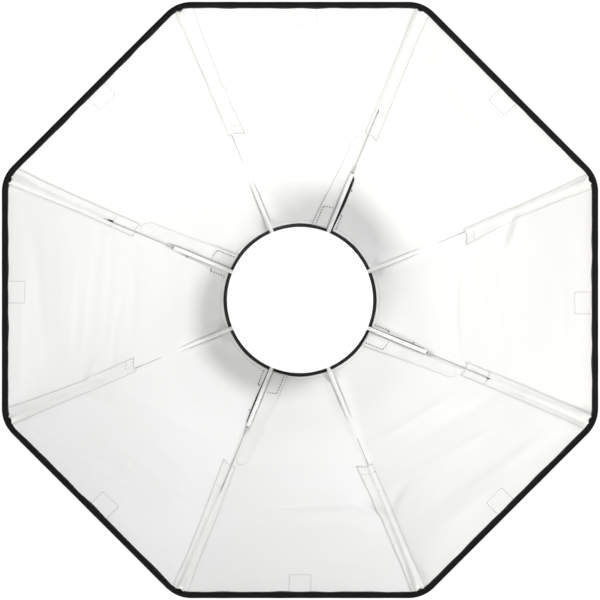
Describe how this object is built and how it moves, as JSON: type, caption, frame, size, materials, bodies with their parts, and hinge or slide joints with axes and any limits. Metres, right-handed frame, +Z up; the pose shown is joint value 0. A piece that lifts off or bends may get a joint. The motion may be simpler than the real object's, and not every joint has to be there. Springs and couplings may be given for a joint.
{
  "type": "octabox",
  "caption": "Eight-sided softbox: a white-lined cloth dish on bent rods, with a round white deflector plate, on a speed ring that turns on a three-lug bayonet insert.",
  "frame": {"origin": "centre of the bayonet insert's seat, which rests on the light", "axes": "+Y along the box's axis towards the light, -Y out of the front opening, +Z up, +X to the right seen from the front"},
  "size_m": [0.6006, 0.215, 0.6006],
  "materials": {
    "black_cloth": "black woven binding",
    "black_metal": "cast, with a black powder coat",
    "black_plastic": "black moulded plastic",
    "bright_metal": "bright machined",
    "rubber": "black moulded rubber",
    "white_cloth": "white coated polyester, satin",
    "white_plate": "spun, with white enamel",
    "white_rod": "white glass fibre, smooth"
  },
  "bodies": {
    "insert": {"bayonet_insert": "bright_metal"},
    "box": {"front_binding": "black_cloth", "panel_1": "white_cloth", "panel_2": "white_cloth", "panel_3": "white_cloth", "panel_4": "white_cloth", "panel_5": "white_cloth", "panel_6": "white_cloth", "panel_7": "white_cloth", "panel_8": "white_cloth", "post_grommet_1": "rubber", "post_grommet_2": "rubber", "post_grommet_3": "rubber", "post_grommet_4": "rubber", "rear_collar": "black_cloth", "retainer_plate": "black_metal", "retainer_screw_1": "bright_metal", "retainer_screw_2": "bright_metal", "retainer_screw_3": "bright_metal", "retainer_screw_4": "bright_metal", "rod_1": "white_rod", "rod_2": "white_rod", "rod_3": "white_rod", "rod_4": "white_rod", "rod_5": "white_rod", "rod_6": "white_rod", "rod_7": "white_rod", "rod_8": "white_rod", "rod_ferrule_1": "white_rod", "rod_ferrule_2": "white_rod", "rod_ferrule_3": "white_rod", "rod_ferrule_4": "white_rod", "rod_ferrule_5": "white_rod", "rod_ferrule_6": "white_rod", "rod_ferrule_7": "white_rod", "rod_ferrule_8": "white_rod", "rod_sleeve_1": "white_cloth", "rod_sleeve_2": "white_cloth", "rod_sleeve_3": "white_cloth", "rod_sleeve_4": "white_cloth", "rod_sleeve_5": "white_cloth", "rod_sleeve_6": "white_cloth", "rod_sleeve_7": "white_cloth", "rod_sleeve_8": "white_cloth", "speed_ring": "black_metal"},
    "deflector": {"deflector_plate": "white_plate", "deflector_post_1": "bright_metal", "deflector_post_2": "bright_metal", "deflector_post_3": "bright_metal", "deflector_post_4": "bright_metal"},
    "lock_1": {"lock_screw_1": "black_plastic"},
    "lock_2": {"lock_screw_2": "black_plastic"},
    "flap_1": {"closure_flap_1": "white_cloth"},
    "flap_2": {"closure_flap_2": "white_cloth"},
    "flap_3": {"closure_flap_3": "white_cloth"},
    "flap_4": {"closure_flap_4": "white_cloth"}
  },
  "joints": [
    {"name": "box_rotation", "type": "hinge", "parent": "insert", "child": "box", "pos_m": [0, 0, 0], "axis": [0, -1, 0], "continuous": true},
    {"name": "deflector_pull", "type": "slide", "parent": "box", "child": "deflector", "axis": [0, -1, 0], "range_m": [0, 0.06]},
    {"name": "lock_1_turn", "type": "hinge", "parent": "box", "child": "lock_1", "pos_m": [0.094, -0.00785, 0], "axis": [1, 0, 0], "range_deg": [0, 720]},
    {"name": "lock_2_turn", "type": "hinge", "parent": "box", "child": "lock_2", "pos_m": [-0.094, -0.00785, 0], "axis": [-1, 0, 0], "range_deg": [0, 720]},
    {"name": "flap_1_fold", "type": "hinge", "parent": "box", "child": "flap_1", "pos_m": [0.03423, -0.05498, 0.12928], "axis": [-0.3545, 0.4334, -0.8285], "range_deg": [0, 90]},
    {"name": "flap_2_fold", "type": "hinge", "parent": "box", "child": "flap_2", "pos_m": [-0.11562, -0.05498, 0.06721], "axis": [-0.8366, -0.4334, 0.3352], "range_deg": [0, 90]},
    {"name": "flap_3_fold", "type": "hinge", "parent": "box", "child": "flap_3", "pos_m": [-0.03423, -0.05498, -0.12928], "axis": [0.3545, 0.4334, 0.8285], "range_deg": [0, 90]},
    {"name": "flap_4_fold", "type": "hinge", "parent": "box", "child": "flap_4", "pos_m": [0.11562, -0.05498, -0.06721], "axis": [0.8366, -0.4334, -0.3352], "range_deg": [0, 90]}
  ]
}
